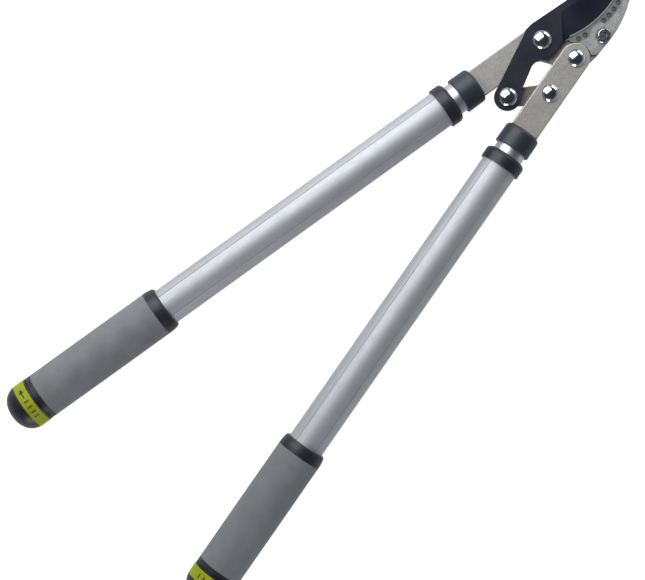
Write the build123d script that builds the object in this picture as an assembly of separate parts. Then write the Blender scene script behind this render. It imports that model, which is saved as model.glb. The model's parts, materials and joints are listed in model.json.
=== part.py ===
from build123d import *

import os
from math import atan2, cos, degrees, radians, sin, sqrt, tan

# Telescopic bypass loppers with a compound linkage. Millimetres.
# The model is laid out from the main pivot: x runs along the tool's centre line towards the
# blade's tip, y to the left handle, z up from the front face of the frame plate. The last
# section moves everything so that the origin is the middle of the tool's footprint, on the
# surface that it lies on.

# ---- Driving dimensions ----------------------------------------------------------------
# Linkage: pivot centres in plan.
MAIN_PIVOT = (0.0, 0.0)
ARM_PIVOT = (9.6, -32.3)
ARM_LINK_PIN = (-28.1, -37.5)
TAIL_LINK_PIN = (-56.4, -13.8)
HOOK_BOLT = (41.2, -35.6)

# Handles: the angle between each handle's axis and the centre line, the point in plan that
# the axis passes through, and the distance from that point back to the socket cap's front.
HANDLE_ANGLE = 9.75
LEFT_AXIS_POINT = (0.4, 2.6)
LEFT_CAP_BACK = 67.9
RIGHT_AXIS_POINT = (9.5, -31.7)
RIGHT_CAP_BACK = 77.8
TUBE_AXIS_Z = 0.4

# Plates: bottom and top of each layer.
FRAME_LAYER = (-6.0, 0.0)
HOOK_LAYER = (0.0, 3.0)
BLADE_LAYER = (3.1, 7.6)
ARM_LAYER = (0.8, 6.8)
LINK_LAYER = (-5.0, 0.0)
ARM_WIDTH = 26.0
PLATE_EDGE = 1.0
LINK_WIDTH = 15.0

# Blade and hook outlines.
SPINE_CORNER = (3.3, 16.4)
SPINE_SLOPE = -11.5
BLADE_TIP = (104.0, -4.1)
BELLY_CENTRE = (52.0, 63.1)
BELLY_RADIUS = 85.0
THROAT = (18.0, -14.8)
BLADE_HUB_RADIUS = 16.0
BLADE_TAIL_RADIUS = 11.8
GRIND_CORNER = (29.1, 5.3)
GRIND_NECK = (14.4, -10.9)
GRIND_CURVE = 0.00104
GRIND_RUN_OUT = 42.0
GRIND_BACK = 6.0
GRIND_FRONT = 101.5
GRIND_STEPS = 14
GRIND_OVERSHOOT = 2.0
EDGE_THICKNESS = 0.6
TIP_TAPER = 9.0
TIP_THICKNESS = 0.9
BLADE_EDGE = 0.4
HOOK_OUTER_CENTRE = (30.2, 56.7)
HOOK_OUTER_RADIUS = 99.8
HOOK_HUB_RADIUS = 12.5
HOOK_ARM_GAP = 0.6
DIMPLE_RADIUS = 2.2
DIMPLE_DEPTH = 1.0
DIMPLE_PITCH = 6.8
DIMPLE_ROW = 4.6
DIMPLE_PLACES = (0, 1, 4, 5, 6, 7, 8, 9, 10, 11)

# Fasteners.
PIVOT_SHANK = 4.0
PIVOT_HOLE = 4.05
LINK_SHANK = 3.5
LINK_HOLE = 3.55
LOOSE_LINK_HOLE = 5.0
MAIN_DOME_RADIUS = 8.05
ARM_DOME_RADIUS = 7.6
DOME_HEIGHT = 3.5
DOME_RIM = 1.1
SHANK_CHAMFER = 0.6
NUT_ACROSS_FLATS = 13.0
NUT_HEIGHT = 6.0
NUT_CHAMFER = 1.0
HEX_CORNER_TRIM = 1.1
THREAD_END = 1.2
HOOK_BOLT_SHANK = 3.0
HOOK_BOLT_FLANGE = 6.7
HOOK_BOLT_FLATS = 10.2
HOOK_BOLT_HEAD = 5.2
HOOK_BOLT_ROUND = 0.9
HOOK_BOLT_RECESS = 2.2
HOOK_RECESS_DEPTH = 1.2
FLANGE_THICKNESS = 1.4
HOOK_NUT_FLATS = 10.0
HOOK_NUT_HEIGHT = 5.0
WASHER_RADIUS = 9.0
SPACER_RADIUS = 7.0
LAYER_GAP = 0.1

# Handle stack, measured back from the socket cap's front face.
CAP_LENGTH = 19.3
COLLAR_FRONT = 26.1
COLLAR_LENGTH = 11.8
TUBE_LENGTH = 296.0
FRONT_RING_LENGTH = 10.5
GRIP_LENGTH = 121.6
REAR_RING_LENGTH = 6.8
BAND_LENGTH = 10.5
DOME_END_LENGTH = 15.3

# Handle radii.
CAP_RADIUS = 16.5
INNER_TUBE_RADIUS = 14.0
INNER_TUBE_WALL = 1.6
OUTER_TUBE_RADIUS = 16.7
OUTER_TUBE_WALL = 1.6
COLLAR_RADIUS = 18.7
GRIP_RADIUS = 20.7
KNOB_RADIUS = 20.9
BAND_RADIUS = 21.1
BAND_BORE = 18.7
TUBE_GROOVE_OFFSET = 9.7
TUBE_GROOVE_RADIUS = 0.5

# Telescoping and the twist lock.
EXTENSION = 320.0
INNER_TUBE_LENGTH = 443.0
COLLAR_SPIGOT = 26.0
TANG_LENGTH = 34.0
TANG_WIDTH = 20.0
PLUG_LENGTH = 42.0
TANG_PIN_RADIUS = 2.5
TANG_PIN_STATIONS = (6.0, 14.0)
ROD_RADIUS = 4.0
ROD_SHOULDER_RADIUS = 7.0
ROD_SHOULDER_LENGTH = 3.9
BEARING_LENGTH = 22.0
COLLET_LENGTH = 24.0
COLLET_BACK = 78.0
COLLET_FLOOR = 6.0
COLLET_THROAT = 5.6
COLLET_MOUTH = 9.0
COLLET_SLIT = 1.2
WEDGE_LENGTH = 22.0
WEDGE_BACK = 8.0
WEDGE_GAP = 0.15
RUNNING_GAP = 0.05


# ---- Helpers ---------------------------------------------------------------------------
def layer(face, levels):
    """A flat plate: a plan outline between two heights."""
    bottom, top = levels
    return extrude(Pos(0, 0, bottom) * face, amount=top - bottom)


def disc(centre, radius, levels):
    bottom, top = levels
    spot = Pos(centre[0], centre[1], (bottom + top) / 2)
    return spot * Cylinder(radius, top - bottom)


def eased(plate, radius=PLATE_EDGE):
    """Round over the long edges round a plate's top and bottom faces."""
    flat = plate.faces().filter_by(Axis.Z).sort_by(Axis.Z)
    return fillet(flat[0].outer_wire().edges() + flat[-1].outer_wire().edges(), radius)


def eased_front(plate, radius):
    """Round over the edge round a plate's front face only."""
    return fillet(plate.faces().sort_by(Axis.Z)[-1].outer_wire().edges(), radius)


def rounded(face, radius):
    """Round the outward corners of a plan outline."""
    return offset(offset(face, -radius), radius)


def toward(point, angle, distance):
    return (point[0] + distance * cos(radians(angle)), point[1] + distance * sin(radians(angle)))


def heading(start, end):
    return degrees(atan2(end[1] - start[1], end[0] - start[0]))


def on_arc(centre, radius, x, side):
    """The point at x on a circle: side -1 is its lower half, +1 its upper half."""
    return (x, centre[1] + side * sqrt(radius**2 - (x - centre[0]) ** 2))


def turned(profile):
    """A solid of revolution about X from an outline of (x, radius) points."""
    return revolve(Plane.XZ * make_face(Polyline(*profile, close=True)), Axis.X)


def tube(outer, inner, back, front):
    """A round tube along X between two stations."""
    length = front - back
    ring = Circle(outer) - Circle(inner) if inner else Circle(outer)
    return extrude(Plane(origin=(back, 0, 0), z_dir=(1, 0, 0)) * ring, amount=length)


# ---- Plates ----------------------------------------------------------------------------
def strip(point, angle, back, front, width):
    """A straight bar in plan along a handle's axis, as a closed outline."""
    rear, fore = toward(point, angle, -back), toward(point, angle, front)
    half = width / 2
    corners = [
        toward(rear, angle + 90, half),
        toward(fore, angle + 90, half),
        toward(fore, angle - 90, half),
        toward(rear, angle - 90, half),
    ]
    return Polyline(*corners, close=True)


def tang_strip(point, angle, cap_back):
    """The narrower end of an arm that lies inside its handle."""
    return make_face(strip(point, angle, cap_back + TANG_LENGTH, 1 - cap_back, TANG_WIDTH))


def tang_holes(point, angle, cap_back, levels):
    spots = [toward(point, angle, -cap_back - station) for station in TANG_PIN_STATIONS]
    return [disc(spot, TANG_PIN_RADIUS + RUNNING_GAP, levels) for spot in spots]


def make_frame_arm():
    """Left arm, tang and the head plate that carries the hook and both pivots."""
    angle = -HANDLE_ANGLE
    head_points = [
        (-26.0, -6.4),
        (-18.0, -8.2),
        (-12.0, -12.6),
        (-7.3, -21.5),
        (-4.0, -36.0),
        (6.0, -43.6),
        (24.4, -44.3),
        on_arc(HOOK_OUTER_CENTRE, HOOK_OUTER_RADIUS + 0.4, 48.0, -1),
        (50.5, -34.0),
        (44.0, -26.5),
        (24.0, -17.0),
        (13.0, -6.0),
        (10.0, 9.0),
        (-6.0, 13.0),
        (-26.0, 12.0),
    ]
    outline = make_face(strip(LEFT_AXIS_POINT, angle, LEFT_CAP_BACK, 6, ARM_WIDTH))
    outline += make_face(Polyline(*head_points, close=True))
    outline = rounded(outline, 2.0)
    plate = eased(layer(outline, FRAME_LAYER))
    plate += layer(tang_strip(LEFT_AXIS_POINT, angle, LEFT_CAP_BACK), FRAME_LAYER)
    for centre, radius in (
        (MAIN_PIVOT, PIVOT_HOLE),
        (ARM_PIVOT, PIVOT_HOLE),
        (HOOK_BOLT, HOOK_BOLT_SHANK + RUNNING_GAP),
    ):
        plate -= disc(centre, radius, (-7, 1))
    return plate - tang_holes(LEFT_AXIS_POINT, angle, LEFT_CAP_BACK, (-7, 1))


def make_right_arm():
    """Right arm and tang, with a round end on the arm pivot."""
    angle = HANDLE_ANGLE
    outline = make_face(strip(RIGHT_AXIS_POINT, angle, RIGHT_CAP_BACK, 0, ARM_WIDTH))
    outline += Pos(*RIGHT_AXIS_POINT) * Circle(ARM_WIDTH / 2)
    arm = eased(layer(outline, ARM_LAYER))
    arm += layer(tang_strip(RIGHT_AXIS_POINT, angle, RIGHT_CAP_BACK), ARM_LAYER)
    arm -= disc(ARM_PIVOT, PIVOT_HOLE, (0, 8))
    arm -= disc(ARM_LINK_PIN, LINK_HOLE, (0, 8))
    return arm - tang_holes(RIGHT_AXIS_POINT, angle, RIGHT_CAP_BACK, (0, 8))


def make_blade():
    """Curved bypass blade with a long tail, ground to its cutting edge on its front face."""
    spine_end = toward(SPINE_CORNER, SPINE_SLOPE, 78.0)
    belly = on_arc(BELLY_CENTRE, BELLY_RADIUS, 60.0, -1)
    tail_angle = heading(TAIL_LINK_PIN, MAIN_PIVOT)
    tail_left = toward(TAIL_LINK_PIN, tail_angle + 97, BLADE_TAIL_RADIUS)
    tail_right = toward(TAIL_LINK_PIN, tail_angle - 62, BLADE_TAIL_RADIUS)
    tail_back = toward(TAIL_LINK_PIN, tail_angle + 180, BLADE_TAIL_RADIUS)
    hub_low = toward(MAIN_PIVOT, -135, BLADE_HUB_RADIUS + 0.6)
    hub_mid = toward(MAIN_PIVOT, -100, BLADE_HUB_RADIUS)
    hub_end = toward(MAIN_PIVOT, -62, BLADE_HUB_RADIUS)
    hub = ThreePointArc(hub_end, hub_mid, hub_low)
    neck_run = (-17.5, -7.0)
    edges = [
        Line(SPINE_CORNER, spine_end),
        ThreePointArc(spine_end, (94.5, -2.1), BLADE_TIP),
        ThreePointArc(BLADE_TIP, belly, THROAT),
        Line(THROAT, hub_end),
        hub,
        Spline(hub_low, (-17.0, -9.9), (-24.0, -10.4), tangents=(hub % 1, neck_run)),
        Line((-24.0, -10.4), (-41.5, -17.4)),
        Line((-41.5, -17.4), tail_right),
        ThreePointArc(tail_right, tail_back, tail_left),
        Line(tail_left, (-9.6, 13.8)),
        Line((-9.6, 13.8), (-3.2, 16.4)),
        Line((-3.2, 16.4), SPINE_CORNER),
    ]
    plate = eased_front(layer(make_face(edges), BLADE_LAYER), BLADE_EDGE)
    plate -= disc(MAIN_PIVOT, PIVOT_HOLE, (2, 9))
    plate -= disc(TAIL_LINK_PIN, LINK_HOLE, (2, 9))
    return plate - blade_grind() - tip_taper()


def grind_section(x):
    """Cross-section at x of what is ground off: from the grind line down to the edge."""
    bottom, top = BLADE_LAYER
    back = x - GRIND_CORNER[0]
    line_y = GRIND_CORNER[1] + back * tan(radians(SPINE_SLOPE)) + GRIND_CURVE * back**2
    edge_y = on_arc(BELLY_CENTRE, BELLY_RADIUS, x, -1)[1]
    slope = (top - bottom - EDGE_THICKNESS) / (line_y - edge_y)
    low_y, high_z = edge_y - GRIND_OVERSHOOT, top + GRIND_OVERSHOOT
    corners = [
        (x, line_y, top),
        (x, low_y, bottom + EDGE_THICKNESS - slope * GRIND_OVERSHOOT),
        (x, low_y, high_z),
        (x, line_y, high_z),
    ]
    return Face(Wire.make_polygon([Vector(*corner) for corner in corners], close=True))


def blade_grind():
    """The metal ground off the blade's front, running out at the neck on a slope."""
    step = (GRIND_FRONT - GRIND_BACK) / GRIND_STEPS
    ground = loft([grind_section(GRIND_BACK + place * step) for place in range(GRIND_STEPS + 1)])
    angle = heading(GRIND_NECK, GRIND_CORNER)
    neck = Location((*GRIND_NECK, BLADE_LAYER[1]), (0, 0, angle - 90))
    keep = neck * Rot(0, 90 - GRIND_RUN_OUT, 0) * Pos(80, 0, 0) * Box(160, 200, 160)
    return ground & keep


def tip_taper():
    """The metal above a plane that slopes down to the blade's tip and leaves it thin."""
    bottom, top = BLADE_LAYER
    slope = degrees(atan2(top - bottom - TIP_THICKNESS, TIP_TAPER))
    start = Location((BLADE_TIP[0] - TIP_TAPER, BLADE_TIP[1], top))
    return start * Rot(0, slope, 0) * Pos(20, 0, 10) * Box(60, 40, 20)


def make_hook_plate():
    """Counter-blade: hub under the blade, concave sliding edge, curved back and oil dimples."""
    arc_radius = ARM_WIDTH / 2 + HOOK_ARM_GAP
    notch_start = toward(ARM_PIVOT, 55, arc_radius)
    notch_mid = toward(ARM_PIVOT, 15, arc_radius)
    notch_end = toward(ARM_PIVOT, -32, arc_radius + 0.3)
    heel = (25.4, HOOK_OUTER_CENTRE[1] - HOOK_OUTER_RADIUS - 0.1)
    outer_mid = on_arc(HOOK_OUTER_CENTRE, HOOK_OUTER_RADIUS, 70.0, -1)
    outer_end = on_arc(HOOK_OUTER_CENTRE, HOOK_OUTER_RADIUS, 108.0, -1)
    hub_top = toward(MAIN_PIVOT, 28, HOOK_HUB_RADIUS)
    hub_back = toward(MAIN_PIVOT, 150, HOOK_HUB_RADIUS)
    hub_low = toward(MAIN_PIVOT, -72, HOOK_HUB_RADIUS)
    edges = [
        Line(hub_low, (16.6, -16.6)),
        Line((16.6, -16.6), notch_start),
        ThreePointArc(notch_start, notch_mid, notch_end),
        Line(notch_end, heel),
        ThreePointArc(heel, outer_mid, outer_end),
        Line(outer_end, (105.5, -3.6)),
        ThreePointArc((105.5, -3.6), (64.0, -16.6), (24.0, -10.5)),
        Line((24.0, -10.5), hub_top),
        ThreePointArc(hub_top, hub_back, hub_low),
    ]
    plate = eased_front(layer(make_face(edges), HOOK_LAYER), BLADE_EDGE)
    plate -= disc(MAIN_PIVOT, PIVOT_HOLE, (-1, 4))
    plate -= disc(HOOK_BOLT, HOOK_BOLT_SHANK + RUNNING_GAP, (-1, 4))
    return plate - oil_dimples()


def oil_dimples():
    """Blind round pockets along the sliding face, with a gap in the row at the hook bolt."""
    row_radius = BELLY_RADIUS + DIMPLE_ROW
    step = degrees(DIMPLE_PITCH / row_radius)
    first = heading(BELLY_CENTRE, (24.0, -21.4))
    top = HOOK_LAYER[1]
    spots = [toward(BELLY_CENTRE, first + place * step, row_radius) for place in DIMPLE_PLACES]
    return [disc(spot, DIMPLE_RADIUS, (top - DIMPLE_DEPTH, top + 1)) for spot in spots]


def make_link_plate():
    """Short link behind the blade's tail and the right arm."""
    angle = heading(TAIL_LINK_PIN, ARM_LINK_PIN)
    half = LINK_WIDTH / 2
    back = toward(TAIL_LINK_PIN, angle + 180, half)
    front = toward(ARM_LINK_PIN, angle, half + 1.5)
    side = [toward(TAIL_LINK_PIN, angle + turn, half) for turn in (90, -90)]
    far = [toward(ARM_LINK_PIN, angle + turn, half + 1.5) for turn in (90, -90)]
    edges = [
        Line(side[0], far[0]),
        ThreePointArc(far[0], front, far[1]),
        Line(far[1], side[1]),
        ThreePointArc(side[1], back, side[0]),
    ]
    plate = eased(layer(make_face(edges), LINK_LAYER), 0.6)
    plate -= disc(TAIL_LINK_PIN, LINK_HOLE, (-6, 1))
    return plate - disc(ARM_LINK_PIN, LOOSE_LINK_HOLE, (-6, 1))


# ---- Fasteners -------------------------------------------------------------------------
def dome_bolt(centre, seat, end, dome_radius, shank):
    """Polished dome-head pivot bolt: head on the seat, shank down to its end."""
    sphere_radius = (dome_radius**2 + DOME_HEIGHT**2) / (2 * DOME_HEIGHT)
    top = DOME_RIM + DOME_HEIGHT
    dome = Pos(0, 0, top - sphere_radius) * Sphere(sphere_radius)
    dome &= Pos(0, 0, top) * Cylinder(dome_radius + 1, 2 * DOME_HEIGHT)
    head = Pos(0, 0, DOME_RIM / 2) * Cylinder(dome_radius, DOME_RIM) + dome
    shaft = Pos(0, 0, (end - seat) / 2) * Cylinder(shank, seat - end)
    tip = shaft.faces().sort_by(Axis.Z)[0].edges()
    return Pos(centre[0], centre[1], seat) * (head + chamfer(tip, SHANK_CHAMFER))


def hex_nut(centre, seat, bore, across=NUT_ACROSS_FLATS, height=NUT_HEIGHT):
    """Hexagon lock nut hanging below its seat, with chamfered corners."""
    body = extrude(RegularPolygon(across / 2, 6, major_radius=False), amount=-height)
    cone = Pos(0, 0, -height / 2) * Cylinder(across / 2 * HEX_CORNER_TRIM, height)
    cone = chamfer(cone.faces().sort_by(Axis.Z)[0].edges(), NUT_CHAMFER)
    body = (body & cone) - Cylinder(bore, 3 * height)
    return Pos(centre[0], centre[1], seat) * body


def washer(centre, levels, outer, bore):
    bottom, top = levels
    return disc(centre, outer, levels) - disc(centre, bore, (bottom - 1, top + 1))


def make_hook_bolt():
    """Hexagon flange bolt that clamps the hook plate to the frame."""
    top = HOOK_LAYER[1]
    end = FRAME_LAYER[0] - HOOK_NUT_HEIGHT - THREAD_END
    flange = Pos(0, 0, FLANGE_THICKNESS / 2) * Cylinder(HOOK_BOLT_FLANGE, FLANGE_THICKNESS)
    flange = chamfer(flange.faces().sort_by(Axis.Z)[-1].edges(), SHANK_CHAMFER)
    hexagon = extrude(RegularPolygon(HOOK_BOLT_FLATS / 2, 6, major_radius=False), amount=HOOK_BOLT_HEAD)
    trim = Cylinder(HOOK_BOLT_FLATS / 2 * HEX_CORNER_TRIM, HOOK_BOLT_HEAD)
    trim = Pos(0, 0, HOOK_BOLT_HEAD / 2) * trim
    trim = fillet(trim.faces().sort_by(Axis.Z)[-1].edges(), HOOK_BOLT_ROUND)
    recess = Pos(0, 0, HOOK_BOLT_HEAD) * Cylinder(HOOK_BOLT_RECESS, HOOK_RECESS_DEPTH * 2)
    shank = Pos(0, 0, (end - top) / 2) * Cylinder(HOOK_BOLT_SHANK, top - end)
    return Pos(*HOOK_BOLT, top) * (flange + (hexagon & trim) - recess + shank)


def make_fasteners():
    """The four pivots and the hook's bolt, each with its own nut and spacer."""
    frame_back, link_back = FRAME_LAYER[0] - LAYER_GAP, LINK_LAYER[0] - LAYER_GAP
    nodes = {}
    pivots = (
        ("main_pivot", MAIN_PIVOT, BLADE_LAYER[1], frame_back, MAIN_DOME_RADIUS, PIVOT_SHANK),
        ("arm_pivot", ARM_PIVOT, ARM_LAYER[1], frame_back, ARM_DOME_RADIUS, PIVOT_SHANK),
        ("arm_link", ARM_LINK_PIN, ARM_LAYER[1], link_back, ARM_DOME_RADIUS, LINK_SHANK),
        ("tail_link", TAIL_LINK_PIN, BLADE_LAYER[1], link_back, MAIN_DOME_RADIUS, LINK_SHANK),
    )
    for name, centre, front, back, dome_radius, shank in pivots:
        end = back - NUT_HEIGHT - THREAD_END
        nodes[name + "_bolt"] = dome_bolt(centre, front + LAYER_GAP, end, dome_radius, shank)
        nodes[name + "_nut"] = hex_nut(centre, back, shank)
    nodes["hook_bolt"] = make_hook_bolt()
    nodes["hook_nut"] = hex_nut(
        HOOK_BOLT, FRAME_LAYER[0], HOOK_BOLT_SHANK, HOOK_NUT_FLATS, HOOK_NUT_HEIGHT
    )
    under_arm = (RUNNING_GAP, ARM_LAYER[0] - RUNNING_GAP)
    under_tail = (RUNNING_GAP, BLADE_LAYER[0] - LAYER_GAP)
    nodes["arm_pivot_washer"] = washer(ARM_PIVOT, under_arm, WASHER_RADIUS, PIVOT_HOLE)
    nodes["arm_link_washer"] = washer(ARM_LINK_PIN, under_arm, WASHER_RADIUS, LINK_HOLE)
    nodes["tail_link_spacer"] = washer(TAIL_LINK_PIN, under_tail, SPACER_RADIUS, LINK_HOLE)
    return nodes


# ---- One handle ------------------------------------------------------------------------
# Built along X with the socket cap's front face at x = 0 and the grip at negative x; z = 0
# is the tube's axis. The plate's tang lies off the axis, in a slot in the tang plug.
BODY_BACK = -(COLLAR_FRONT + COLLAR_LENGTH)
FRONT_RING_FRONT = BODY_BACK - TUBE_LENGTH
GRIP_FRONT = FRONT_RING_FRONT - FRONT_RING_LENGTH
REAR_RING_FRONT = GRIP_FRONT - GRIP_LENGTH
BAND_FRONT = REAR_RING_FRONT - REAR_RING_LENGTH
DOME_FRONT = BAND_FRONT - BAND_LENGTH
HANDLE_END = DOME_FRONT - DOME_END_LENGTH
ROD_BACK = DOME_FRONT - 6
BEARING_BACK = BAND_FRONT + 0.7
BEARING_FRONT = BAND_FRONT + BEARING_LENGTH


def make_socket_cap(tang_z):
    """Moulded cap over the inner tube's end, with a slot that the tang passes through."""
    cap = turned([
        (-CAP_LENGTH, 0), (-CAP_LENGTH, CAP_RADIUS), (0, CAP_RADIUS - 0.3), (0, 0),
    ])
    cap = fillet(cap.faces().sort_by(Axis.X)[-1].edges(), 3.6)
    cap = fillet(cap.faces().sort_by(Axis.X)[0].edges(), 0.8)
    cap -= tube(INNER_TUBE_RADIUS + RUNNING_GAP, 0, -CAP_LENGTH - 1, -2.2)
    slot = Pos(0, 0, (tang_z[0] + tang_z[1]) / 2)
    return cap - slot * Box(12, TANG_WIDTH + 0.2, tang_z[1] - tang_z[0] + 0.2)


def make_tang_plug(tang_z):
    """Solid insert that fills the inner tube's end round the tang."""
    plug = tube(INNER_TUBE_RADIUS - INNER_TUBE_WALL - RUNNING_GAP, 0, -PLUG_LENGTH, -2.3)
    slot = Pos(-TANG_LENGTH / 2, 0, (tang_z[0] + tang_z[1]) / 2)
    plug -= slot * Box(TANG_LENGTH + 0.4, TANG_WIDTH + 0.2, tang_z[1] - tang_z[0] + 0.2)
    for station in TANG_PIN_STATIONS:
        plug -= Pos(-station, 0, 0) * Cylinder(TANG_PIN_RADIUS + RUNNING_GAP, 60)
    return plug


def make_inner_tube():
    """Inner telescoping tube, fixed to the arm by two cross pins under the cap."""
    bore = INNER_TUBE_RADIUS - INNER_TUBE_WALL
    sleeve = tube(INNER_TUBE_RADIUS, bore, -INNER_TUBE_LENGTH, -2.3)
    for station in TANG_PIN_STATIONS:
        sleeve -= Pos(-station, 0, 0) * Cylinder(TANG_PIN_RADIUS + RUNNING_GAP, 60)
    return sleeve


def make_tang_pins():
    """Two cross pins, flush with the inner tube."""
    skin = tube(INNER_TUBE_RADIUS, 0, -60, 0)
    return [skin & Pos(-x, 0, 0) * Cylinder(TANG_PIN_RADIUS, 60) for x in TANG_PIN_STATIONS]


def make_inner_guide():
    """Guide bush on the inner tube's back end, running in the outer tube."""
    back = -INNER_TUBE_LENGTH
    front = BODY_BACK - COLLAR_SPIGOT - EXTENSION - 0.5
    bore = INNER_TUBE_RADIUS - INNER_TUBE_WALL
    outer = OUTER_TUBE_RADIUS - OUTER_TUBE_WALL - RUNNING_GAP
    return turned([
        (back - 3, bore - 1.6), (back - 3, outer), (front, outer),
        (front, INNER_TUBE_RADIUS + 0.02), (back - 0.02, INNER_TUBE_RADIUS + 0.02),
        (back - 0.02, bore - 1.6),
    ])


def make_outer_tube():
    """Extruded outer tube with four shallow grooves along its length."""
    back = BAND_FRONT + 0.6
    body = tube(OUTER_TUBE_RADIUS, OUTER_TUBE_RADIUS - OUTER_TUBE_WALL, back, BODY_BACK)
    depth = sqrt(OUTER_TUBE_RADIUS**2 - TUBE_GROOVE_OFFSET**2)
    for y in (TUBE_GROOVE_OFFSET, -TUBE_GROOVE_OFFSET):
        for z in (depth, -depth):
            body -= Pos(0, y, z) * tube(TUBE_GROOVE_RADIUS, 0, back - 1, BODY_BACK + 1)
    return body


def make_tube_collar():
    """Flanged bush at the outer tube's mouth, running on the inner tube."""
    bore = INNER_TUBE_RADIUS + RUNNING_GAP
    spigot = OUTER_TUBE_RADIUS - OUTER_TUBE_WALL
    front, back = -COLLAR_FRONT, BODY_BACK
    collar = turned([
        (back - COLLAR_SPIGOT, bore), (back - COLLAR_SPIGOT, spigot), (back, spigot),
        (back, COLLAR_RADIUS),
        (front - 3.0, COLLAR_RADIUS), (front - 1.2, COLLAR_RADIUS - 0.9),
        (front, COLLAR_RADIUS - 2.6), (front, bore),
    ])
    return collar


def make_grip_sleeve():
    """Soft moulded grip on the outer tube."""
    return turned([
        (REAR_RING_FRONT, OUTER_TUBE_RADIUS), (REAR_RING_FRONT, GRIP_RADIUS),
        (GRIP_FRONT, GRIP_RADIUS - 0.1), (GRIP_FRONT, OUTER_TUBE_RADIUS),
    ])


def make_grip_front_ring():
    """Hard ring with a rounded lip in front of the grip."""
    front, back = FRONT_RING_FRONT, GRIP_FRONT
    return turned([
        (back, OUTER_TUBE_RADIUS), (back, GRIP_RADIUS + 0.1), (front - 6.5, GRIP_RADIUS - 0.1),
        (front - 2.0, GRIP_RADIUS - 0.8), (front - 0.7, GRIP_RADIUS - 1.5),
        (front, GRIP_RADIUS - 2.6), (front, OUTER_TUBE_RADIUS),
    ])


def make_grip_rear_ring():
    """Hard ring behind the grip, with the groove that parts it from the knob."""
    front, back = REAR_RING_FRONT, BAND_FRONT + 0.3
    return turned([
        (back, OUTER_TUBE_RADIUS), (back, KNOB_RADIUS - 0.2), (back + 1.6, KNOB_RADIUS - 0.2),
        (back + 1.8, KNOB_RADIUS - 1.2), (back + 2.6, KNOB_RADIUS - 1.2),
        (back + 2.8, KNOB_RADIUS - 0.2), (front, KNOB_RADIUS - 0.2), (front, OUTER_TUBE_RADIUS),
    ])


def make_knob_bearing():
    """Plug in the outer tube's back end that the lock rod turns in."""
    outer, bore = OUTER_TUBE_RADIUS - OUTER_TUBE_WALL - 0.02, ROD_RADIUS + RUNNING_GAP
    return tube(outer, bore, BEARING_BACK, BEARING_FRONT)


def make_knob():
    """Twist knob with a domed end and a boss that is pressed on the lock rod."""
    shoulder, nose = (DOME_FRONT - 12.2, 13.6), (HANDLE_END, 4.0)
    profile = [
        ThreePointArc((DOME_FRONT, KNOB_RADIUS), (DOME_FRONT - 7.2, 18.6), shoulder),
        ThreePointArc(shoulder, (DOME_FRONT - 14.4, 9.0), nose),
        Line(nose, (HANDLE_END, 0)),
        Line((HANDLE_END, 0), (BAND_FRONT - 0.1, 0)),
        Line((BAND_FRONT - 0.1, 0), (BAND_FRONT - 0.1, BAND_BORE)),
        Line((BAND_FRONT - 0.1, BAND_BORE), (DOME_FRONT, BAND_BORE)),
        Line((DOME_FRONT, BAND_BORE), (DOME_FRONT, KNOB_RADIUS)),
    ]
    body = revolve(Plane.XZ * make_face(profile), Axis.X)
    return body - tube(ROD_RADIUS, 0, ROD_BACK, BAND_FRONT + 1)


def make_knob_band():
    """Coloured marker band round the knob."""
    return turned([
        (DOME_FRONT, BAND_BORE), (DOME_FRONT, BAND_RADIUS - 0.3),
        (DOME_FRONT + 0.4, BAND_RADIUS), (BAND_FRONT - 0.5, BAND_RADIUS),
        (BAND_FRONT - 0.1, BAND_RADIUS - 0.3), (BAND_FRONT - 0.1, BAND_BORE),
    ])


def make_lock_rod():
    """Steel rod from the knob to the lock, with a shoulder behind its bearing."""
    shoulder = BEARING_FRONT + LAYER_GAP
    rod = tube(ROD_RADIUS, 0, ROD_BACK, WEDGE_BACK - COLLET_BACK + WEDGE_LENGTH + 2)
    return rod + tube(ROD_SHOULDER_RADIUS, 0, shoulder, shoulder + ROD_SHOULDER_LENGTH)


def make_lock_collet():
    """Split collet that grips the inner tube's bore when the wedge is drawn in."""
    outer, bore = INNER_TUBE_RADIUS - INNER_TUBE_WALL - RUNNING_GAP, ROD_RADIUS + RUNNING_GAP
    back, front = -COLLET_BACK, COLLET_LENGTH - COLLET_BACK
    floor = back + COLLET_FLOOR
    sleeve = turned([
        (back, bore), (back, outer), (front, outer), (front, COLLET_MOUTH),
        (floor, COLLET_THROAT), (floor, bore),
    ])
    slit = 2 * (outer + 1)
    slits = Box(30, slit, COLLET_SLIT) + Box(30, COLLET_SLIT, slit)
    return sleeve - Pos(front, 0, 0) * slits


def make_wedge_nut():
    """Tapered nut on the rod's thread, drawn into the collet by the knob."""
    back = WEDGE_BACK - COLLET_BACK
    front, bore = back + WEDGE_LENGTH, ROD_RADIUS + RUNNING_GAP
    slope = (COLLET_MOUTH - COLLET_THROAT) / (COLLET_LENGTH - COLLET_FLOOR)
    small = COLLET_THROAT + slope * (WEDGE_BACK - COLLET_FLOOR) - WEDGE_GAP
    taper = COLLET_LENGTH - WEDGE_BACK
    large = small + slope * taper
    return turned([
        (back, bore), (back, small), (back + taper, large), (front, large), (front, bore),
    ])


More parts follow.
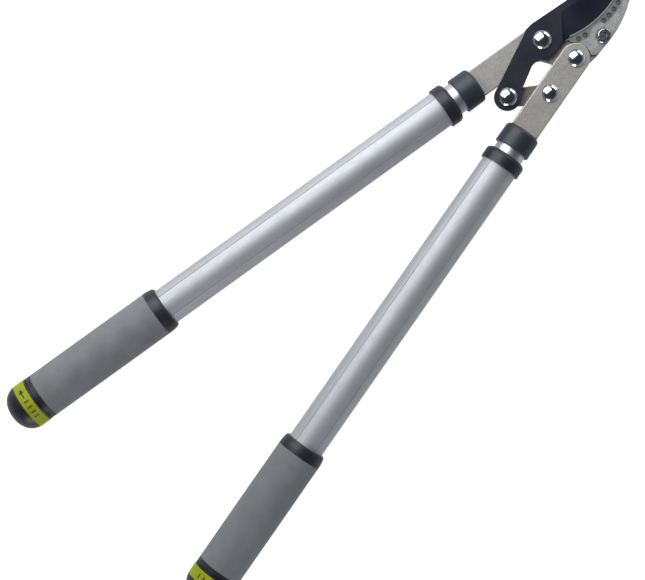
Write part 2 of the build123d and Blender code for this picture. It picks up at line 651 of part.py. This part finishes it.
def make_handle(side, tang_levels):
    """Every piece of one handle, along X, named for its side."""
    tang_z = tuple(level - TUBE_AXIS_Z for level in tang_levels)
    pieces = {
        "socket_cap": make_socket_cap(tang_z),
        "tang_plug": make_tang_plug(tang_z),
        "tang_pins": Compound(make_tang_pins()),
        "inner_tube": make_inner_tube(),
        "inner_guide": make_inner_guide(),
        "outer_tube": make_outer_tube(),
        "tube_collar": make_tube_collar(),
        "grip_sleeve": make_grip_sleeve(),
        "grip_front_ring": make_grip_front_ring(),
        "grip_rear_ring": make_grip_rear_ring(),
        "knob_bearing": make_knob_bearing(),
        "knob": make_knob(),
        "knob_band": make_knob_band(),
        "lock_rod": make_lock_rod(),
        "lock_collet": make_lock_collet(),
        "wedge_nut": make_wedge_nut(),
    }
    return {side + "_" + name: piece for name, piece in pieces.items()}


def cap_front(axis_point, angle, back):
    """Where a handle's own x = 0 goes in the head's frame."""
    spot = toward(axis_point, angle, -back)
    return Location((spot[0], spot[1], TUBE_AXIS_Z), (0, 0, angle))


# ---- Assembly --------------------------------------------------------------------------
HANDLES = {
    "left": (cap_front(LEFT_AXIS_POINT, -HANDLE_ANGLE, LEFT_CAP_BACK), FRAME_LAYER),
    "right": (cap_front(RIGHT_AXIS_POINT, HANDLE_ANGLE, RIGHT_CAP_BACK), ARM_LAYER),
}


def build():
    nodes = {
        "frame_arm": make_frame_arm(),
        "right_arm": make_right_arm(),
        "blade": make_blade(),
        "hook_plate": make_hook_plate(),
        "link_plate": make_link_plate(),
    }
    nodes.update(make_fasteners())
    for side, (place, levels) in HANDLES.items():
        for name, piece in make_handle(side, levels).items():
            nodes[name] = place * piece
    return nodes


def footprint(nodes):
    """The point of the layout that becomes the origin."""
    boxes = [piece.bounding_box() for piece in nodes.values()]
    low = [min(tuple(box.min)[axis] for box in boxes) for axis in range(3)]
    high = [max(tuple(box.max)[axis] for box in boxes) for axis in range(3)]
    return ((low[0] + high[0]) / 2, (low[1] + high[1]) / 2, low[2])


NODES = build()
ORIGIN = footprint(NODES)
MOVE = Pos(-ORIGIN[0], -ORIGIN[1], -ORIGIN[2])

if __name__ == "__main__":
    os.makedirs("parts", exist_ok=True)
    for node_name, piece in NODES.items():
        export_step(MOVE * piece, os.path.join("parts", node_name + ".step"))
    print("nodes", len(NODES), "origin in the layout", ORIGIN)
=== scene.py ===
import json
from math import atan, cos, pi, radians, sin

import bpy
from mathutils import Matrix, Vector


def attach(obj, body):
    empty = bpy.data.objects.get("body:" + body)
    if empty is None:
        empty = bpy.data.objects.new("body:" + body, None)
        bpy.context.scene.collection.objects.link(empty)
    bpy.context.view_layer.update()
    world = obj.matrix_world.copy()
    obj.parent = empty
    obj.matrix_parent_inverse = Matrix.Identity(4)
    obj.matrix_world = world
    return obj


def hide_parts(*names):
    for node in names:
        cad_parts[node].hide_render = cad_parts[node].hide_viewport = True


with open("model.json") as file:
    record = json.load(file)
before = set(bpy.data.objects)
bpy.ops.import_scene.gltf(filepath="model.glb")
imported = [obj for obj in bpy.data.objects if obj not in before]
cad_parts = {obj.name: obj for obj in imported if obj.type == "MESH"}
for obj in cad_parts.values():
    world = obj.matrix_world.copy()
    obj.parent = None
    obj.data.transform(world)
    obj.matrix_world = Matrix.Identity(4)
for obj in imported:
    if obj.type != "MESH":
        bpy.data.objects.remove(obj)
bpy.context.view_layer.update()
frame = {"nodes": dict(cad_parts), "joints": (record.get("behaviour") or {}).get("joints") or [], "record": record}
NODES = frame["nodes"]
RECORD = frame["record"]
MM = 0.001

# Where the tool lies: its main pivot, the centre of the blade's curved edge, the hook bolt, and
# each handle's axis, which points back, with the point on it where the knob begins.
JOINTS = {joint["name"]: joint for joint in frame["joints"]}
MAIN_PIVOT = Vector(JOINTS["blade_turn"]["pos_m"])
EDGE_CENTRE = MAIN_PIVOT + Vector((52.0, 63.1, 0)) * MM
HOOK_BOLT = MAIN_PIVOT + Vector((41.2, -35.6, 0)) * MM
EDGE_RADIUS = 85.0 * MM
HOOK_FACE = MAIN_PIVOT.z + 3.0 * MM
HANDLES = {
    side: (Vector(JOINTS[side + "_extend"]["axis"]), Vector(JOINTS[side + "_knob_turn"]["pos_m"]))
    for side in ("left", "right")
}


# ---- Camera ----------------------------------------------------------------------------
# It looks straight down on the tool, which lies slantwise across the picture.
CAMERA_HEIGHT = 1.465
CAMERA_LENS = 92.1
CAMERA_ROLL = radians(-45.45)
CAMERA_OVER = Vector((-0.0637, -0.0012, 0.0))


def make_camera():
    data = bpy.data.cameras.new("camera")
    data.lens = CAMERA_LENS
    data.sensor_width = 36.0
    camera = bpy.data.objects.new("camera", data)
    camera.location = CAMERA_OVER + Vector((0, 0, CAMERA_HEIGHT))
    camera.rotation_euler = (0, 0, CAMERA_ROLL)
    bpy.context.scene.collection.objects.link(camera)
    bpy.context.scene.camera = camera


# ---- Light and floor -------------------------------------------------------------------
def softbox(name, toward, distance, size, power, aim=(0.0, 0.0, 0.0)):
    """A rectangular light in the direction given from the point that it is aimed at."""
    data = bpy.data.lights.new(name, "AREA")
    data.shape = "RECTANGLE"
    data.size, data.size_y = size
    data.energy = power
    light = bpy.data.objects.new(name, data)
    direction = Vector(toward).normalized()
    light.location = Vector(aim) + direction * distance
    light.rotation_euler = direction.to_track_quat("Z", "Y").to_euler()
    bpy.context.scene.collection.objects.link(light)


def seen_or_cast(tree, seen, cast):
    """One value for what the camera sees directly, another for reflections and light."""
    rays = tree.nodes.new("ShaderNodeLightPath")
    choice = tree.nodes.new("ShaderNodeMapRange")
    choice.inputs["To Min"].default_value = cast
    choice.inputs["To Max"].default_value = seen
    tree.links.new(rays.outputs["Is Camera Ray"], choice.inputs["Value"])
    return choice.outputs["Result"]


def make_world():
    """A dim studio, darker overhead than at the horizon, with a pale backdrop."""
    world = bpy.data.worlds.new("studio")
    bpy.context.scene.world = world
    world.use_nodes = True
    nodes, links = world.node_tree.nodes, world.node_tree.links
    background = nodes["Background"]
    coords = nodes.new("ShaderNodeTexCoord")
    split = nodes.new("ShaderNodeSeparateXYZ")
    ramp = nodes.new("ShaderNodeValToRGB")
    ramp.color_ramp.elements[0].position = 0.0
    ramp.color_ramp.elements[0].color = (0.42, 0.43, 0.46, 1)
    ramp.color_ramp.elements[1].position = 0.55
    ramp.color_ramp.elements[1].color = (0.045, 0.05, 0.065, 1)
    links.new(coords.outputs["Generated"], split.inputs[0])
    links.new(split.outputs["Z"], ramp.inputs["Fac"])
    links.new(ramp.outputs["Color"], background.inputs["Color"])
    links.new(seen_or_cast(world.node_tree, 2.3, 0.9), background.inputs["Strength"])


def make_lights():
    """A large key above the head's left side and two small boxes low down, before and behind."""
    softbox("key_softbox", (0.1, 0.69, 0.72), 1.1, (1.45, 1.2), 21, (0.26, 0.02, 0.0))
    softbox("side_softbox", (-0.7, -0.66, 0.28), 1.1, (0.7, 0.5), 5, (-0.16, 0.0, 0.0))
    softbox("rim_softbox", (0.98, 0.1, 0.2), 1.5, (0.9, 0.3), 5)


def make_floor():
    """A pale floor that glows, so that it looks white with hardly a shadow."""
    mesh = bpy.data.meshes.new("floor")
    half = 6.0
    outline = [(-half, -half, 0), (half, -half, 0), (half, half, 0), (-half, half, 0)]
    mesh.from_pydata(outline, [], [(0, 1, 2, 3)])
    floor = bpy.data.objects.new("floor", mesh)
    bpy.context.scene.collection.objects.link(floor)
    material = bpy.data.materials.new("pale_floor")
    material.use_nodes = True
    shader = material.node_tree.nodes["Principled BSDF"]
    shader.inputs["Base Color"].default_value = (0.35, 0.35, 0.35, 1)
    shader.inputs["Roughness"].default_value = 0.9
    shader.inputs["Emission Color"].default_value = (1, 1, 1, 1)
    glow = seen_or_cast(material.node_tree, 0.95, 0.4)
    material.node_tree.links.new(glow, shader.inputs["Emission Strength"])
    mesh.materials.append(material)


# ---- Material helpers ------------------------------------------------------------------
def shade(colour, share):
    """The same colour, lighter or darker."""
    return tuple(share * channel for channel in colour)


class Finish:
    """A procedural material under construction."""

    def __init__(self, name, **sockets):
        self.material = bpy.data.materials.new(name)
        self.material.use_nodes = True
        self.nodes = self.material.node_tree.nodes
        self.links = self.material.node_tree.links
        self.shader = self.nodes["Principled BSDF"]
        for socket, value in sockets.items():
            self.shader.inputs[socket.replace("_", " ")].default_value = value
        self.place = self.nodes.new("ShaderNodeTexCoord").outputs["Object"]

    def link(self, source, target):
        self.links.new(source, target)

    def mapped(self, turn, scale):
        """Object coordinates turned about Z and scaled: metres times scale."""
        node = self.nodes.new("ShaderNodeMapping")
        node.vector_type = "POINT"
        node.inputs["Rotation"].default_value = (0, 0, turn)
        node.inputs["Scale"].default_value = scale
        self.link(self.place, node.inputs["Vector"])
        return node.outputs["Vector"]

    def noise(self, vector, scale, detail=3.0, roughness=0.55):
        node = self.nodes.new("ShaderNodeTexNoise")
        node.inputs["Scale"].default_value = scale
        node.inputs["Detail"].default_value = detail
        node.inputs["Roughness"].default_value = roughness
        self.link(vector, node.inputs["Vector"])
        return node.outputs["Fac"]

    def ramp(self, factor, low, high, start, end):
        """Blend two colours as a factor goes from start to end."""
        node = self.nodes.new("ShaderNodeValToRGB")
        first, last = node.color_ramp.elements
        first.position, first.color = start, (*low, 1)
        last.position, last.color = end, (*high, 1)
        self.link(factor, node.inputs["Fac"])
        return node.outputs["Color"]

    def spread(self, factor, low, high, start=0.0, end=1.0):
        """Map a factor to a number between low and high."""
        node = self.nodes.new("ShaderNodeMapRange")
        node.inputs["From Min"].default_value = start
        node.inputs["From Max"].default_value = end
        node.inputs["To Min"].default_value = low
        node.inputs["To Max"].default_value = high
        self.link(factor, node.inputs["Value"])
        return node.outputs["Result"]

    def maths(self, operation, first, second):
        node = self.nodes.new("ShaderNodeMath")
        node.operation = operation
        for socket, value in zip(node.inputs, (first, second)):
            if isinstance(value, (int, float)):
                socket.default_value = value
            else:
                self.link(value, socket)
        return node.outputs[0]

    def mix(self, factor, first, second):
        """Mix two colours by a factor from 0 to 1."""
        node = self.nodes.new("ShaderNodeMix")
        node.data_type = "RGBA"
        self.link(factor, node.inputs["Factor"])
        for socket, value in zip((node.inputs[6], node.inputs[7]), (first, second)):
            if isinstance(value, tuple):
                socket.default_value = (*value, 1)
            else:
                self.link(value, socket)
        return node.outputs[2]

    def along(self, axis):
        """One object coordinate in metres."""
        split = self.nodes.new("ShaderNodeSeparateXYZ")
        self.link(self.place, split.inputs[0])
        return split.outputs[axis]

    def distance(self, centre):
        """Distance in metres from an upright axis through a point."""
        node = self.nodes.new("ShaderNodeVectorMath")
        node.operation = "DISTANCE"
        join = self.nodes.new("ShaderNodeCombineXYZ")
        self.link(self.along(0), join.inputs["X"])
        self.link(self.along(1), join.inputs["Y"])
        self.link(join.outputs[0], node.inputs[0])
        node.inputs[1].default_value = (centre[0], centre[1], 0)
        return node.outputs["Value"]

    def corners(self, reach):
        """From 0 deep in a corner to 1 in the open, seen over a reach in metres."""
        node = self.nodes.new("ShaderNodeAmbientOcclusion")
        node.samples = 8
        node.inputs["Distance"].default_value = reach
        return node.outputs["AO"]

    def bump(self, height, strength, distance):
        node = self.nodes.new("ShaderNodeBump")
        node.inputs["Strength"].default_value = strength
        node.inputs["Distance"].default_value = distance
        self.link(height, node.inputs["Height"])
        self.link(node.outputs["Normal"], self.shader.inputs["Normal"])

    def colour(self, source):
        self.link(source, self.shader.inputs["Base Color"])

    def roughness(self, source):
        self.link(source, self.shader.inputs["Roughness"])


def enamel(name, dark, light, speck):
    """Textured metallic enamel: a fine pebbled surface with darker specks."""
    finish = Finish(name, Metallic=0.4, Coat_Weight=0.5, Coat_Roughness=0.2)
    broad = finish.noise(finish.place, 90.0, 2.0)
    fine = finish.noise(finish.place, 1000.0, 2.0, 0.7)
    base = finish.ramp(broad, dark, light, 0.3, 0.7)
    specks = finish.spread(fine, 0.0, 0.75, 0.44, 0.66)
    finish.colour(finish.mix(specks, base, speck))
    finish.roughness(finish.spread(fine, 0.3, 0.5, 0.3, 0.7))
    finish.bump(finish.noise(finish.place, 1300.0, 2.0, 0.6), 0.22, 0.0003)
    return finish.material


HONED_START = EDGE_RADIUS - 1.3 * MM
HONED_FULL = EDGE_RADIUS - 0.8 * MM
HONED_FROM = MAIN_PIVOT.x + 20 * MM


def blade_coating():
    """Blue-black coating with faint rubbing marks and a narrow bright honed edge."""
    finish = Finish("blade_coating", Specular_IOR_Level=0.3)
    broad = finish.noise(finish.place, 45.0, 4.0)
    marks = finish.noise(finish.mapped(radians(50), (40, 900, 40)), 1.0, 4.0, 0.7)
    base = finish.ramp(broad, (0.0095, 0.0115, 0.022), (0.0155, 0.018, 0.032), 0.3, 0.7)
    rubbed = finish.mix(finish.spread(marks, 0.0, 0.22, 0.55, 0.75), base, (0.045, 0.049, 0.062))
    reach = finish.distance(EDGE_CENTRE)
    ahead = finish.maths("GREATER_THAN", finish.along(0), HONED_FROM)
    honed = finish.spread(reach, 0.0, 0.9, HONED_START, HONED_FULL)
    honed = finish.maths("MULTIPLY", honed, ahead)
    finish.colour(finish.mix(honed, rubbed, (0.34, 0.35, 0.36)))
    finish.roughness(finish.spread(broad, 0.34, 0.5, 0.3, 0.7))
    finish.bump(finish.noise(finish.place, 1500.0, 2.0), 0.12, 0.0001)
    return finish.material


RUBBED_BAND = (EDGE_RADIUS + 7.0 * MM, EDGE_RADIUS + 8.4 * MM)
CLEAN_SEAT = (11.0 * MM, 12.2 * MM)
PIT_SHADE_DEPTHS = (HOOK_FACE - 0.5 * MM, HOOK_FACE - 0.2 * MM)
CORNER_SHADE_REACH = 2.2 * MM


def hook_steel():
    """Tumbled bare steel, darker and rubbed beside the blade, clean round the bolt's seat.

    Painted shade darkens its corners, the rims of the oil dimples and the dimples' floors.
    """
    finish = Finish("hook_steel", Metallic=0.55)
    grain = finish.noise(finish.place, 900.0, 3.0, 0.75)
    stains = finish.noise(finish.place, 150.0, 5.0, 0.7)
    plain = finish.ramp(stains, (0.3, 0.31, 0.315), (0.44, 0.45, 0.46), 0.35, 0.65)
    worn = finish.ramp(stains, (0.15, 0.155, 0.15), (0.25, 0.255, 0.25), 0.35, 0.65)
    reach = finish.distance(EDGE_CENTRE)
    beside = finish.spread(reach, 1.0, 0.0, *RUBBED_BAND)
    seat = finish.spread(finish.distance(HOOK_BOLT), 0.0, 1.0, *CLEAN_SEAT)
    base = finish.mix(finish.maths("MULTIPLY", beside, seat), plain, worn)
    specks = finish.spread(grain, 0.0, 0.75, 0.48, 0.72)
    face = finish.mix(specks, base, (0.1, 0.105, 0.1))
    # Painted shade: the floors of the oil dimples, below the face, are painted a darker grey.
    pit_shade_mask = finish.spread(finish.along(2), 1.0, 0.0, *PIT_SHADE_DEPTHS)
    pit_shade = finish.mix(pit_shade_mask, face, (0.15, 0.155, 0.15))
    # Painted shade: an occlusion node paints near black into corners and round the dimples' rims.
    corner_shade = finish.spread(finish.corners(CORNER_SHADE_REACH), 1.0, 0.0, 0.45, 0.9)
    finish.colour(finish.mix(corner_shade, pit_shade, (0.01, 0.011, 0.012)))
    finish.roughness(finish.spread(grain, 0.4, 0.62, 0.3, 0.7))
    finish.bump(grain, 0.5, 0.0004)
    return finish.material


def plated(name, colour, roughness, scale):
    """Plated or polished metal with faint handling marks."""
    finish = Finish(name, Metallic=1.0)
    haze = finish.noise(finish.place, scale, 4.0, 0.6)
    finish.colour(finish.ramp(haze, shade(colour, 0.92), colour, 0.3, 0.6))
    finish.roughness(finish.spread(haze, roughness * 0.7, roughness * 1.5, 0.3, 0.75))
    return finish.material


def drawn_aluminium(name, turn, colour, metallic, roughness, streak):
    """Aluminium tube with die lines along its length."""
    finish = Finish(name, Metallic=metallic)
    lines = finish.noise(finish.mapped(turn, (3, 2600, 2600)), 1.0, 3.0, 0.6)
    haze = finish.noise(finish.place, 60.0, 3.0)
    base = finish.ramp(haze, shade(colour, 0.93), colour, 0.3, 0.7)
    drawn = finish.spread(lines, 0.0, 0.18, 0.5, 0.8)
    finish.colour(finish.mix(drawn, base, shade(colour, 0.75)))
    finish.roughness(finish.spread(lines, roughness * 0.85, roughness * 1.2, 0.3, 0.7))
    finish.bump(lines, streak, 0.00004)
    return finish.material


def moulded(name, colour, roughness, scale, bump, gloss=0.4):
    """Moulded plastic or rubber with a fine spark-eroded texture."""
    finish = Finish(name, Specular_IOR_Level=gloss)
    haze = finish.noise(finish.place, 70.0, 3.0)
    grain = finish.noise(finish.place, scale, 2.0, 0.6)
    finish.colour(finish.ramp(haze, shade(colour, 0.9), shade(colour, 1.08), 0.3, 0.7))
    finish.roughness(finish.spread(grain, roughness - 0.05, roughness + 0.07, 0.3, 0.7))
    finish.bump(grain, bump, 0.00012)
    return finish.material


SATIN = {"colour": (0.48, 0.495, 0.525), "metallic": 0.7, "roughness": 0.585, "streak": 0.1}
BRIGHT = {"colour": (0.6, 0.61, 0.64), "metallic": 0.85, "roughness": 0.38, "streak": 0.12}


def make_metals():
    """Enamelled, coated, bare and plated metal, by slot."""
    return {
        "arm_enamel": enamel(
            "arm_enamel", (0.4, 0.385, 0.355), (0.47, 0.455, 0.425), (0.25, 0.24, 0.22)
        ),
        # The link's enamel is the arms' enamel painted about half as bright and browner: painted shade for the
        # link lying back in shadow behind the arms.
        "link_steel": enamel(
            "link_steel", (0.2, 0.185, 0.155), (0.26, 0.24, 0.2), (0.12, 0.11, 0.09)
        ),
        "blade_coating": blade_coating(),
        "hook_steel": hook_steel(),
        "zinc_steel": plated("zinc_steel", (0.46, 0.49, 0.53), 0.22, 240.0),
        "polished_chrome": plated("polished_chrome", (0.6, 0.63, 0.67), 0.13, 160.0),
        "brass": plated("brass", (0.6, 0.45, 0.18), 0.3, 200.0),
    }


def make_plastics():
    """Rubber and plastics, by slot, and the ink of the marks."""
    return {
        "grip_rubber": moulded("grip_rubber", (0.17, 0.182, 0.195), 0.62, 2600.0, 0.25),
        "band_plastic": moulded("band_plastic", (0.29, 0.345, 0.006), 0.5, 1800.0, 0.1, gloss=0.2),
        "band_ink": moulded("band_ink", (0.03, 0.038, 0.012), 0.5, 1800.0, 0.1),
        "cap_plastic": moulded("cap_plastic", (0.022, 0.032, 0.043), 0.42, 1800.0, 0.15),
        "black_plastic": moulded("black_plastic", (0.016, 0.018, 0.026), 0.4, 1800.0, 0.12),
        "inner_plastic": moulded("inner_plastic", (0.05, 0.05, 0.055), 0.5, 1500.0, 0.1),
    }


def make_tubes():
    """The tubes' two finishes for each handle, because die lines run along its own axis."""
    made = {}
    for side, (back, _) in HANDLES.items():
        turn = -atan(back.y / back.x)
        made["satin_aluminium", side] = drawn_aluminium("satin_aluminium_" + side, turn, **SATIN)
        made["bright_aluminium", side] = drawn_aluminium("bright_aluminium_" + side, turn, **BRIGHT)
    return made


def dress_nodes(made):
    """Give every CAD node the finish of its slot; a tube's goes by the side in its name."""
    for part in RECORD["subparts"]:
        node, slot = part["node"], part["material_slot"]
        finish = made.get(slot) or made[slot, node.split("_")[0]]
        mesh = NODES[node].data
        mesh.materials.clear()
        mesh.materials.append(finish)


# ---- Pieces made in mesh ---------------------------------------------------------------
# Lengths are along a handle, from the front of its knob.
GRIP_BACK = 6.8 * MM
GRIP_LENGTH = 121.6 * MM
GRIP_RADIUS = 20.7 * MM
GRIP_BORE = 16.75 * MM
GRIP_CORNER = 0.7 * MM
GRIP_SWELL = 0.12 * MM
GRIP_RIDGE = 0.1 * MM
CORNER_STEPS = 5
LENGTH_STEPS = 48
ROUND_STEPS = 160
BAND_MIDDLE = -5.3 * MM
MARK_FLOOR = 20.9 * MM
MARK_TOP = 21.14 * MM
# A bar spans 1.8 degrees each way round the band; the halves are half-widths along the handle.
BAR_SPAN = 1.8
BAR_HALF = 2.3 * MM
SHAFT_HALF = 0.6 * MM
HEAD_HALF = 2.5 * MM
HEAD_TIP = 0.05 * MM


def handle_place(side):
    """From a handle's own frame, X forward from the knob's front and Z up, to the tool's."""
    back, start = HANDLES[side]
    forward, up = -back, Vector((0, 0, 1))
    across = up.cross(forward)
    turn = Matrix((forward, across, up)).transposed().to_4x4()
    return Matrix.Translation(start) @ turn


def add_mesh(name, points, faces, finish, body):
    mesh = bpy.data.meshes.new(name)
    mesh.from_pydata(points, [], faces)
    mesh.update()
    mesh.polygons.foreach_set("use_smooth", [True] * len(mesh.polygons))
    mesh.set_sharp_from_angle(angle=radians(35))
    mesh.materials.append(finish)
    piece = bpy.data.objects.new(name, mesh)
    bpy.context.scene.collection.objects.link(piece)
    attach(piece, body)
    return piece


def around(radius, angle, x):
    """A point on a handle's round surface: angle is from straight up, towards the left."""
    return Vector((x, radius * sin(angle), radius * cos(angle)))


def grip_corner(step):
    """How far in from the end, and how high, a point is on the grip's rounded corner."""
    turn = pi / 2 * step / CORNER_STEPS
    return GRIP_CORNER * (1 - cos(turn)), GRIP_RADIUS - GRIP_CORNER * (1 - sin(turn))


def grip_profile():
    """(x, radius) round the sleeve's section: rounded ends and a slight swell."""
    front = GRIP_BACK + GRIP_LENGTH
    straight = GRIP_LENGTH - 2 * GRIP_CORNER
    profile = []
    for step in range(CORNER_STEPS + 1):
        inset, radius = grip_corner(step)
        profile.append((GRIP_BACK + inset, radius))
    for step in range(1, LENGTH_STEPS):
        share = step / LENGTH_STEPS
        sink = GRIP_SWELL * (1 - sin(pi * share))
        profile.append((GRIP_BACK + GRIP_CORNER + straight * share, GRIP_RADIUS - sink))
    for step in range(CORNER_STEPS, -1, -1):
        inset, radius = grip_corner(step)
        profile.append((front - inset, radius))
    return profile + [(front, GRIP_BORE), (GRIP_BACK, GRIP_BORE)]


def make_grip(side, finish):
    """Moulded sleeve with a fine parting ridge along each side."""
    place, profile = handle_place(side), grip_profile()
    ridges = (ROUND_STEPS // 4, 3 * ROUND_STEPS // 4)
    points = []
    for turn in range(ROUND_STEPS):
        angle = 2 * pi * turn / ROUND_STEPS
        for x, radius in profile:
            on_ridge = turn in ridges and radius > GRIP_BORE
            points.append(place @ around(radius + (GRIP_RIDGE if on_ridge else 0.0), angle, x))
    size = len(profile)
    faces = []
    for turn in range(ROUND_STEPS):
        here, there = turn * size, (turn + 1) % ROUND_STEPS * size
        for step in range(size):
            after = (step + 1) % size
            faces.append((here + step, here + after, there + after, there + step))
    body = side + "_outer_handle"
    piece = add_mesh(side + "_grip_soft", points, faces, finish, body)
    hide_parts(side + "_grip_sleeve")


def raised_mark(place, stations):
    """A printed mark that follows the band's curve, from (degrees, half-width) stations."""
    points, faces = [], []
    for angle, half in sorted(stations):
        for radius in (MARK_FLOOR, MARK_TOP):
            for x in (BAND_MIDDLE - half, BAND_MIDDLE + half):
                points.append(place @ around(radius, radians(angle), x))
    for start in range(0, len(points) - 4, 4):
        low_back, low_front, top_back, top_front = range(start, start + 4)
        faces.append((top_back, top_front, top_front + 4, top_back + 4))
        faces.append((low_back, low_back + 4, low_front + 4, low_front))
        faces.append((low_back, top_back, top_back + 4, low_back + 4))
        faces.append((low_front, low_front + 4, top_front + 4, top_front))
    last = len(points) - 4
    faces.append((0, 1, 3, 2))
    faces.append((last, last + 2, last + 3, last + 1))
    return points, faces


def swept(start, end, half_start, half_end, count=5):
    """Even stations between two angles."""
    shares = [step / count for step in range(count + 1)]
    return [
        (start + (end - start) * share, half_start + (half_end - half_start) * share)
        for share in shares
    ]


def make_band_marks(side, finish, bars, arrow):
    """A turn arrow and four bars round the knob's band. arrow is (tail, neck, tip) in degrees."""
    place = handle_place(side)
    tail, neck, tip = arrow
    shapes = [swept(bar - BAR_SPAN, bar + BAR_SPAN, BAR_HALF, BAR_HALF, 1) for bar in bars]
    shapes.append(swept(tail, neck, SHAFT_HALF, SHAFT_HALF))
    shapes.append(swept(neck, tip, HEAD_HALF, HEAD_TIP))
    points, faces = [], []
    for stations in shapes:
        some, sides = raised_mark(place, stations)
        faces += [tuple(index + len(points) for index in face) for face in sides]
        points += some
    add_mesh(side + "_band_marks", points, faces, finish, side + "_knob")


# ---- Making it -------------------------------------------------------------------------
make_camera()
make_world()
make_lights()
make_floor()
MATERIALS = {**make_metals(), **make_plastics(), **make_tubes()}
dress_nodes(MATERIALS)
for handle_side in HANDLES:
    make_grip(handle_side, MATERIALS["grip_rubber"])
make_band_marks("left", MATERIALS["band_ink"], (7.5, -7.5, -21.0, -35.0), (17.0, 31.0, 45.0))
make_band_marks("right", MATERIALS["band_ink"], (35.0, 21.0, 7.5, -7.5), (-17.0, -31.0, -45.0))

bpy.context.scene.view_settings.view_transform = "Standard"
